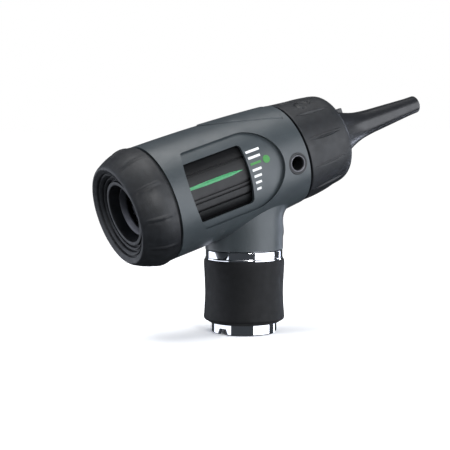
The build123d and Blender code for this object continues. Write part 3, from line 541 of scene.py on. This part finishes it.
def gather_near_ribs(bm, first_rib, ribs, inner_steps, inner_angle):
    """Moves a turned mesh's columns closer together near its ribs, where the detail is."""
    pitch = 360 / ribs
    for vert in bm.verts:
        _, angle, _ = barrel_place(vert.co)
        share = (between(angle, first_rib) / pitch + 0.5) % 1 - 0.5
        inner = inner_angle / pitch
        if abs(share) < inner_steps:
            moved = share / inner_steps * inner
        else:
            outer = (abs(share) - inner_steps) / (0.5 - inner_steps)
            moved = math.copysign(inner + outer * (0.5 - inner), share)
        turn = Matrix.Rotation(math.radians((moved - share) * pitch), 3, along)
        vert.co = barrel_centre + turn @ (vert.co - barrel_centre)


def skin_from(station):
    """Least radius of the outer skin near a station: the inner walls are below it."""
    grip_skin, eyecup_skin, lip_skin, bowl_floor = 14.0, 16.9, 15.0, -40.7
    if station > 0:
        return grip_skin
    return eyecup_skin if station > bowl_floor else lip_skin


def raise_ribs(bm, first_rib, ribs, back, front, slim=1.0):
    """Lifts thin lens-shaped ribs out of a turned outer skin, each with a groove below it."""
    sizes = bpy.context.scene.otoscope_sizes
    pitch = 360 / ribs
    half = sizes.rib_width / MM / 2 * slim
    for vert in bm.verts:
        station, angle, radius = barrel_place(vert.co)
        if not back < station < front or radius < skin_from(station):
            continue
        share = (between(angle, first_rib) / pitch + 0.5) % 1 - 0.5
        sideways = math.radians(share * pitch) * radius
        run = (station - back) / (front - back)
        breadth = half * math.sin(math.pi * run) ** 0.6
        offset = sideways / breadth if breadth else 2.0
        if abs(offset) < 1:
            slope = min(1.0, (1 - abs(offset)) / 0.4)
            rise = slope * slope * (3 - 2 * slope)
        elif -2.2 < offset < 0:
            rise = -0.6 * math.sin(math.pi * (-1 - offset) / 1.2)
        else:
            continue
        vert.co += outward(angle) * sizes.rib_height * rise * math.sin(math.pi * run) ** 0.5


def sink_turn_mark(bm, station, angle):
    """Sinks a plain arc with an arrowhead into a skin: the grip is turned to push the speculum off."""
    depth = bpy.context.scene.otoscope_sizes.mark_depth
    reach, stroke, softness = 2.2, 0.42, 0.2
    head = Vector((reach, 0, 0))
    barbs = (head + Vector((-1.2, 1.1, 0)), head + Vector((1.2, 1.1, 0)))
    for vert in bm.verts:
        here, turn, radius = barrel_place(vert.co)
        if radius < skin_from(here):
            continue
        place = Vector((here - station, math.radians(between(turn, angle)) * radius, 0))
        if place.length > 2 * reach:
            continue
        gaps = []
        if place.y > 0 or place.x < 0:
            gaps.append(abs(place.length - reach))
        for barb in barbs:
            share = min(1.0, max(0.0, intersect_point_line(place, head, barb)[1]))
            gaps.append((place - head.lerp(barb, share)).length)
        sunk = min(1.0, max(0.0, (stroke - min(gaps)) / softness))
        vert.co -= outward(turn) * depth * sunk


# ---- Pieces ----


class OTOSCOPE_OT_housing(bpy.types.Operator):
    """Two moulded shells with rounded edges"""

    bl_idname = "otoscope.housing"
    bl_label = "Housing"

    def execute(self, context):
        width = context.scene.otoscope_sizes.edge_round
        rounded_copy("right_shell", "housing_right", width, "head", "housing_grey")
        rounded_copy("left_shell", "housing_left", width, "head", "housing_grey")
        rounded_copy("panel_cover", "top_panel", 0.5 * width, "head", "housing_grey")
        return {"FINISHED"}


class OTOSCOPE_OT_scale(bpy.types.Operator):
    """Printed focus scale beside the finger windows"""

    bl_idname = "otoscope.scale"
    bl_label = "Focus scale"

    def execute(self, context):
        finish_nodes("print_white", "scale_marks")
        finish_nodes("print_green", "best_focus_marks")
        return {"FINISHED"}


class OTOSCOPE_OT_eyecup(bpy.types.Operator):
    """Rubber eyecup with its stepped bowl and ribs"""

    bl_idname = "otoscope.eyecup"
    bl_label = "Eyecup"

    def execute(self, context):
        rows = [
            (-46.37, 15.0, 0.45),
            (-45.55, 13.35, 0.12),
            (-44.8, 13.2, 0.1),
            (-44.8, 12.85, 0.1),
            (-45.2, 12.65, 0.12),
            (-44.55, 11.95, 0.12),
            (-43.7, 11.8, 0.1),
            (-43.7, 11.45, 0.1),
            (-44.25, 11.3, 0.12),
            (-43.8, 10.8, 0.12),
            (-43.0, 10.65, 0.1),
            (-43.0, 10.3, 0.1),
            (-43.9, 10.15, 0.12),
            (-43.9, 9.0, 0.25),
            (-40.6, 8.7, 0),
            (-40.6, 16.6, 0),
            (-34.1, 16.6, 0),
            (-34.1, 17.3, 0),
            (-34.9, 17.3, 0.1),
            (-34.9, 18.2, 0.3),
            (-38.4, 18.36, 1.0),
            (-40.6, 18.0, 1.2),
            (-43.2, 17.0, 0.9),
            (-45.6, 15.75, 0.45),
        ]
        first_rib, ribs = 28.6, 11
        bm = turned(rows, 32 * ribs, side=outward(first_rib), longest=0.45)
        gather_near_ribs(bm, first_rib, ribs, 0.3, 3.8)
        raise_ribs(bm, first_rib, ribs, -45.1, -36.4)
        crease(bm, 35)
        finished("eyecup_rubber", bm, ["eyecup"], "head", "soft_black")
        return {"FINISHED"}


class OTOSCOPE_OT_eyepiece(bpy.types.Operator):
    """Lenses, their rings and the tube that holds them"""

    bl_idname = "otoscope.eyepiece"
    bl_label = "Eyepiece"

    def execute(self, context):
        rows = [
            (-40.95, 7.65, 0.06),
            (-39.2, 7.7, 0),
            (-39.2, 6.3, 0),
            (-39.55, 6.3, 0.1),
            (-40.95, 7.45, 0.06),
        ]
        bm = turned(rows, 128)
        crease(bm, 40)
        finished("retaining_ring", bm, ["eyepiece_ring"], "head", "turned_steel", "blasted_nickel")
        finish_nodes("clear_glass", "eyepiece_lens", "focus_lens", "objective_lens")
        finish_nodes("black_aluminium", "lens_tube", "lens_carriage", "nose_cone", "objective_ring")
        return {"FINISHED"}


class OTOSCOPE_OT_focus_wheel(bpy.types.Operator):
    """Focus wheel and the green index line on each side of it"""

    bl_idname = "otoscope.focus_wheel"
    bl_label = "Focus wheel"

    def execute(self, context):
        finish_nodes("wheel_black", "focus_wheel")
        crown = context.scene.otoscope_sizes.index_crown / MM
        back, front, widest, wheel_radius = -27.4, -8.3, 1.25, 14.8
        index_angle, thickness = 11.7, 0.25
        bm = bmesh.new()
        for middle in (index_angle, 180 - index_angle):
            made = bmesh.ops.create_grid(bm, x_segments=48, y_segments=8, size=0.5)
            for vert in made["verts"]:
                run, across = vert.co.x + 0.5, 2 * vert.co.y
                taper = min(1.0, 0.75 + run) * min(1.0, (1 - run) * 4) ** 0.7
                station = back + (front - back) * run
                angle = middle + math.degrees(across * taper * widest / 2 / wheel_radius)
                radius = wheel_radius - 0.02 + crown * (1 - abs(across)) * taper
                vert.co = barrel_centre + (along * station + outward(angle) * radius) * MM
        bmesh.ops.remove_doubles(bm, verts=bm.verts, dist=1e-6)
        bmesh.ops.recalc_face_normals(bm, faces=bm.faces)
        bmesh.ops.solidify(bm, geom=bm.faces[:], thickness=thickness * MM)
        bmesh.ops.recalc_face_normals(bm, faces=bm.faces)
        crease(bm, 40)
        finished("index_pointers", bm, ["index_lines"], "wheel", "index_green")
        return {"FINISHED"}


class OTOSCOPE_OT_tip_grip(bpy.types.Operator):
    """Rubber front grip with its ribs and a plain turn mark"""

    bl_idname = "otoscope.tip_grip"
    bl_label = "Front grip"

    def execute(self, context):
        rows = [
            (14.9, 13.3, 0),
            (14.9, 16.15, 0.3),
            (30.2, 14.62, 0.9),
            (31.9, 14.1, 0.7),
            (32.9, 12.9, 0.8),
            (32.9, 10.5, 0.3),
            (32.3, 9.9, 0.2),
            (31.4, 9.9, 0),
            (31.4, 13.3, 0),
        ]
        first_rib, ribs = 17.3, 11
        bm = turned(rows, 60 * ribs, side=outward(first_rib), longest=0.38)
        gather_near_ribs(bm, first_rib, ribs, 0.15, 3.4)
        raise_ribs(bm, first_rib, ribs, 16.6, 29.6, 0.8)
        # The mark is half-way between two ribs
        sink_turn_mark(bm, 22.6, first_rib + 1.5 * 360 / ribs)
        crease(bm, 35)
        finished("grip_rubber", bm, ["tip_grip"], "grip", "soft_black")
        return {"FINISHED"}


class OTOSCOPE_OT_speculum(bpy.types.Operator):
    """Speculum with its flared base, tapered stem and latch tab"""

    bl_idname = "otoscope.speculum"
    bl_label = "Speculum"

    def execute(self, context):
        rows = [
            (31.0, 8.35, 0),
            (31.0, 9.0, 0.15),
            (33.6, 8.95, 0.9),
            (37.0, 7.45, 1.6),
            (40.6, 5.9, 1.6),
            (44.4, 4.72, 1.7),
            (49.0, 4.08, 2.0),
            (65.4, 3.03, 0.1),
            (65.7, 3.0, 0.1),
            (70.0, 2.88, 0.45),
            (70.0, 2.2, 0.15),
            (65.4, 2.2, 0),
            (48.5, 3.5, 0.9),
            (42.5, 4.5, 0.9),
            (36.0, 7.2, 0.9),
        ]
        bm = turned(rows, 192)
        tab = bmesh.ops.create_cube(bm, size=1.0)["verts"]
        out = outward(96.0)
        turn = Matrix((along, along.cross(out) * -1, out)).transposed()
        bmesh.ops.scale(bm, vec=(2.8 * MM, 1.8 * MM, 2.4 * MM), verts=tab)
        bmesh.ops.bevel(
            bm,
            geom=list({edge for vert in tab for edge in vert.link_edges}),
            offset=0.2 * MM,
            segments=3,
            profile=0.5,
            affect="EDGES",
            material=-1,
        )
        # The tab is still at the origin, away from the turned part
        loose = [vert for vert in bm.verts if vert.co.length < 3 * MM]
        bmesh.ops.transform(bm, matrix=turn.to_4x4(), verts=loose)
        bmesh.ops.translate(bm, vec=barrel_centre + (along * 39.4 + out * 6.3) * MM, verts=loose)
        bmesh.ops.recalc_face_normals(bm, faces=bm.faces)
        crease(bm, 35)
        finished("speculum_cone", bm, ["speculum"], "speculum", "speculum_grey")
        return {"FINISHED"}


class OTOSCOPE_OT_port(bpy.types.Operator):
    """Insufflation port with its seal"""

    bl_idname = "otoscope.port"
    bl_label = "Insufflation port"

    def execute(self, context):
        port = next(m for m in frame["record"]["mounts"] if m["name"] == "insufflation_port")
        mouth = Vector(port["pos_m"])
        line = {"start": mouth, "direction": right_side, "side": along}
        rows = [
            (-5.31, 2.0, 0),
            (-5.31, 2.9, 0.15),
            (-1.0, 2.9, 0),
            (-1.0, 2.65, 0),
            (-0.05, 2.65, 0.12),
            (-0.05, 2.3, 0.12),
            (-0.4, 2.0, 0.1),
        ]
        bm = turned(rows, 96, **line)
        crease(bm, 35)
        finished("port_tube", bm, ["port_fitting"], "head", "turned_steel", "blasted_nickel")
        rows = [
            (-3.0, 2.9, 0),
            (-3.0, 3.4, 0),
            (-0.05, 3.4, 0.2),
            (-0.05, 2.65, 0.2),
            (-1.0, 2.65, 0),
            (-1.0, 2.9, 0),
        ]
        bm = turned(rows, 96, **line)
        crease(bm, 35)
        finished("port_ring", bm, ["port_seal"], "head", "soft_black")
        return {"FINISHED"}


class OTOSCOPE_OT_neck(bpy.types.Operator):
    """Chrome rings and foam sleeve of the neck"""

    bl_idname = "otoscope.neck"
    bl_label = "Neck and handle socket"

    def execute(self, context):
        neck = {"start": neck_foot, "direction": upwards, "side": right_side}
        rows = [
            (3.3, 10.3, 0),
            (3.3, 10.9, 0.2),
            (4.5, 12.85, 0.5),
            (8.0, 12.6, 1.2),
            (12.5, 12.35, 2.0),
            (18.0, 12.55, 2.0),
            (22.2, 12.8, 0.6),
            (23.4, 12.65, 0.3),
            (23.4, 10.3, 0),
        ]
        bm = turned(rows, 192, longest=1.0, **neck)
        crease(bm, 35)
        finished("foam_sleeve", bm, ["grip_sleeve"], "head", "soft_black", "sleeve_foam")
        rows = [
            (23.4, 10.3, 0),
            (23.4, 12.35, 0.1),
            (23.85, 12.35, 0.15),
            (24.05, 12.15, 0.06),
            (26.3, 12.15, 0.2),
            (26.3, 10.3, 0),
        ]
        bm = turned(rows, 192, **neck)
        crease(bm, 35)
        finished("neck_band", bm, ["neck_ring"], "head", "chrome")
        rounded_copy("socket_tube", "handle_socket", 0.18 * MM, "head", "chrome")
        return {"FINISHED"}


class OTOSCOPE_OT_inner_parts(bpy.types.Operator):
    """Parts inside the housing"""

    bl_idname = "otoscope.inner_parts"
    bl_label = "Inner parts"

    def execute(self, context):
        finish_nodes("soft_black", "friction_ring", "nose_gasket")
        finish_nodes(
            "inner_plastic",
            "housing_dowels",
            "wheel_spacer",
            "grip_core",
            "ejector_sleeve",
            "lamp_insulator",
            "lamp_holder",
            "guide_plate",
        )
        finish_nodes(
            "turned_steel",
            "cam_pins",
            "nose_screws",
            "grip_circlip",
            "return_spring",
            "ejector_pins",
            "guide_ferrule",
        )
        finish_nodes("brass", "lamp_base", "lamp_contact")
        finish_nodes("fibre", "light_ring", "light_guide")
        finish_nodes("clear_glass", "lamp_bulb")
        return {"FINISHED"}


def look_from(azimuth, elevation):
    """Directions to the camera, to its right and upwards in its picture."""
    turn, rise = math.radians(azimuth), math.radians(elevation)
    back = Vector(
        (math.sin(turn) * math.cos(rise), -math.cos(turn) * math.cos(rise), math.sin(rise))
    )
    right = upwards.cross(back).normalized()
    return back, right, back.cross(right)


def softbox(name, aim, right, up, back, distance, size, power, tint, directions):
    """A square area light in front of a direction given in the camera's own frame."""
    view_back, view_right, view_up = directions
    towards = (view_right * right + view_up * up + view_back * back).normalized()
    data = bpy.data.lights.new(name, "AREA")
    data.shape = "RECTANGLE"
    data.size, data.size_y = size
    data.energy = power
    data.color = linear(tint)
    light = bpy.data.objects.new(name, data)
    light.location = aim + towards * distance
    light.rotation_euler = towards.to_track_quat("Z", "Y").to_euler()
    bpy.context.scene.collection.objects.link(light)


def add_camera(aim, towards):
    """The camera, in a direction from the point that it looks at."""
    scene = bpy.context.scene
    data = bpy.data.cameras.new("camera")
    data.lens = scene.otoscope_stage.lens
    data.sensor_width = 36
    data.clip_start = 0.01
    camera = bpy.data.objects.new("camera", data)
    camera.location = aim + towards * scene.otoscope_stage.distance
    camera.rotation_euler = towards.to_track_quat("Z", "Y").to_euler()
    scene.collection.objects.link(camera)
    scene.camera = camera


def white_paper():
    """Paper that is white to the camera, grey to the object, and fades to even white far away."""
    paper = bpy.data.materials.new("white_paper")
    paper.use_nodes = True
    tree = paper.node_tree
    tree.nodes.clear()
    white = bpy.context.scene.otoscope_stage.floor_white
    ray = add_node(tree, "LightPath")
    plain = add_node(tree, "BsdfDiffuse", {"Color": (0.5, 0.5, 0.5, 1)})
    bright = add_node(tree, "BsdfDiffuse", {"Color": (white, white, white, 1)})
    far = add_node(tree, "Emission", {"Color": (1, 1, 1, 1), "Strength": 1.05})
    place = add_node(tree, "TexCoord").outputs["Object"]
    away = add_node(tree, "VectorMath", {0: place}, operation="LENGTH").outputs["Value"]
    fade = add_node(
        tree,
        "MapRange",
        {"Value": away, "From Min": 0.12, "From Max": 0.34},
        interpolation_type="SMOOTHSTEP",
    )
    shown = add_node(
        tree, "MixShader", {0: fade.outputs["Result"], 1: bright.outputs[0], 2: far.outputs[0]}
    )
    chosen = add_node(
        tree,
        "MixShader",
        {0: ray.outputs["Is Camera Ray"], 1: plain.outputs[0], 2: shown.outputs[0]},
    )
    add_node(tree, "OutputMaterial", {"Surface": chosen.outputs[0]})
    return paper


def add_floor():
    """A wide floor just below the object."""
    mesh = bpy.data.meshes.new("floor")
    bm = bmesh.new()
    bmesh.ops.create_grid(bm, x_segments=1, y_segments=1, size=4.0)
    bmesh.ops.translate(bm, vec=(0, 0, -0.02 * MM), verts=bm.verts)
    bm.to_mesh(mesh)
    bm.free()
    floor = bpy.data.objects.new("floor", mesh)
    bpy.context.scene.collection.objects.link(floor)
    floor.visible_glossy = False
    mesh.materials.append(white_paper())


def add_room():
    """A world that is white to the camera and dim to the object."""
    world = bpy.data.worlds.new("studio")
    bpy.context.scene.world = world
    world.use_nodes = True
    tree = world.node_tree
    tree.nodes.clear()
    ray = add_node(tree, "LightPath")
    backdrop = add_node(tree, "Background", {"Color": (1, 1, 1, 1), "Strength": 1.0})
    room = add_node(tree, "Background", {"Color": (*linear("#B9C2CC"), 1), "Strength": 0.12})
    chosen = add_node(
        tree,
        "MixShader",
        {0: ray.outputs["Is Camera Ray"], 1: room.outputs[0], 2: backdrop.outputs[0]},
    )
    add_node(tree, "OutputWorld", {"Surface": chosen.outputs[0]})


class OTOSCOPE_OT_stage(bpy.types.Operator):
    """Floor, lights and camera"""

    bl_idname = "otoscope.stage"
    bl_label = "Stage"

    def execute(self, context):
        stage = context.scene.otoscope_stage
        directions = look_from(stage.azimuth, stage.elevation)
        aim = Vector((-0.00696, 0, 0.03425))
        add_camera(aim, directions[0])
        add_floor()
        add_room()
        context.scene.view_settings.view_transform = "Standard"

        # Right, up and back in the camera's own frame, distance, width and height, watts, colour
        softbox("right_box", aim, 0.92, 0.0, 0.4, 0.6, (0.8, 0.7), 6.0, "#F6F9FF", directions)
        softbox("left_box", aim, -1.0, 0.0, 0.0, 0.6, (1.1, 0.7), 5, "#EEF3FF", directions)
        softbox("top_box", aim, -0.1, 1.0, 0.1, 0.7, (0.6, 0.6), 4, "#FFFFFF", directions)
        softbox("low_key", aim, 0.3, 0.28, 0.95, 1.0, (0.2, 0.2), 4, "#FFFFFF", directions)
        softbox("edge_strip", aim, 0.75, 0.1, -0.66, 0.6, (0.06, 0.6), 0.9, "#E4ECFF", directions)
        return {"FINISHED"}


class OTOSCOPE_PT_panel(bpy.types.Panel):
    """Lists the pieces, their settings and the stage"""

    bl_idname = "OTOSCOPE_PT_panel"
    bl_label = "Otoscope head"
    bl_space_type = "VIEW_3D"
    bl_region_type = "UI"
    bl_category = "Otoscope"

    def draw(self, context):
        layout = self.layout
        for operator in OPERATORS:
            layout.operator(operator.bl_idname)
        for settings in ("otoscope_finishes", "otoscope_sizes", "otoscope_stage"):
            box = layout.box()
            group = getattr(context.scene, settings)
            for name in group.__annotations__:
                box.prop(group, name)


OPERATORS = (
    OTOSCOPE_OT_housing,
    OTOSCOPE_OT_scale,
    OTOSCOPE_OT_eyecup,
    OTOSCOPE_OT_eyepiece,
    OTOSCOPE_OT_focus_wheel,
    OTOSCOPE_OT_tip_grip,
    OTOSCOPE_OT_speculum,
    OTOSCOPE_OT_port,
    OTOSCOPE_OT_neck,
    OTOSCOPE_OT_inner_parts,
    OTOSCOPE_OT_stage,
)
GROUPS = (OtoscopeFinishes, OtoscopeSizes, OtoscopeStage)


def register():
    """Registers the settings, the operators and the panel."""
    for group in GROUPS:
        bpy.utils.register_class(group)
    bpy.types.Scene.otoscope_finishes = bpy.props.PointerProperty(type=OtoscopeFinishes)
    bpy.types.Scene.otoscope_sizes = bpy.props.PointerProperty(type=OtoscopeSizes)
    bpy.types.Scene.otoscope_stage = bpy.props.PointerProperty(type=OtoscopeStage)
    for operator in OPERATORS:
        bpy.utils.register_class(operator)
    bpy.utils.register_class(OTOSCOPE_PT_panel)


def unregister():
    """Takes all of it out again."""
    bpy.utils.unregister_class(OTOSCOPE_PT_panel)
    for operator in reversed(OPERATORS):
        bpy.utils.unregister_class(operator)
    del bpy.types.Scene.otoscope_stage
    del bpy.types.Scene.otoscope_sizes
    del bpy.types.Scene.otoscope_finishes
    for group in reversed(GROUPS):
        bpy.utils.unregister_class(group)


def main():
    """Makes every piece and the stage."""
    register()
    bpy.ops.otoscope.housing()
    bpy.ops.otoscope.scale()
    bpy.ops.otoscope.eyecup()
    bpy.ops.otoscope.eyepiece()
    bpy.ops.otoscope.focus_wheel()
    bpy.ops.otoscope.tip_grip()
    bpy.ops.otoscope.speculum()
    bpy.ops.otoscope.port()
    bpy.ops.otoscope.neck()
    bpy.ops.otoscope.inner_parts()
    bpy.ops.otoscope.stage()


if __name__ == "__main__":
    main()
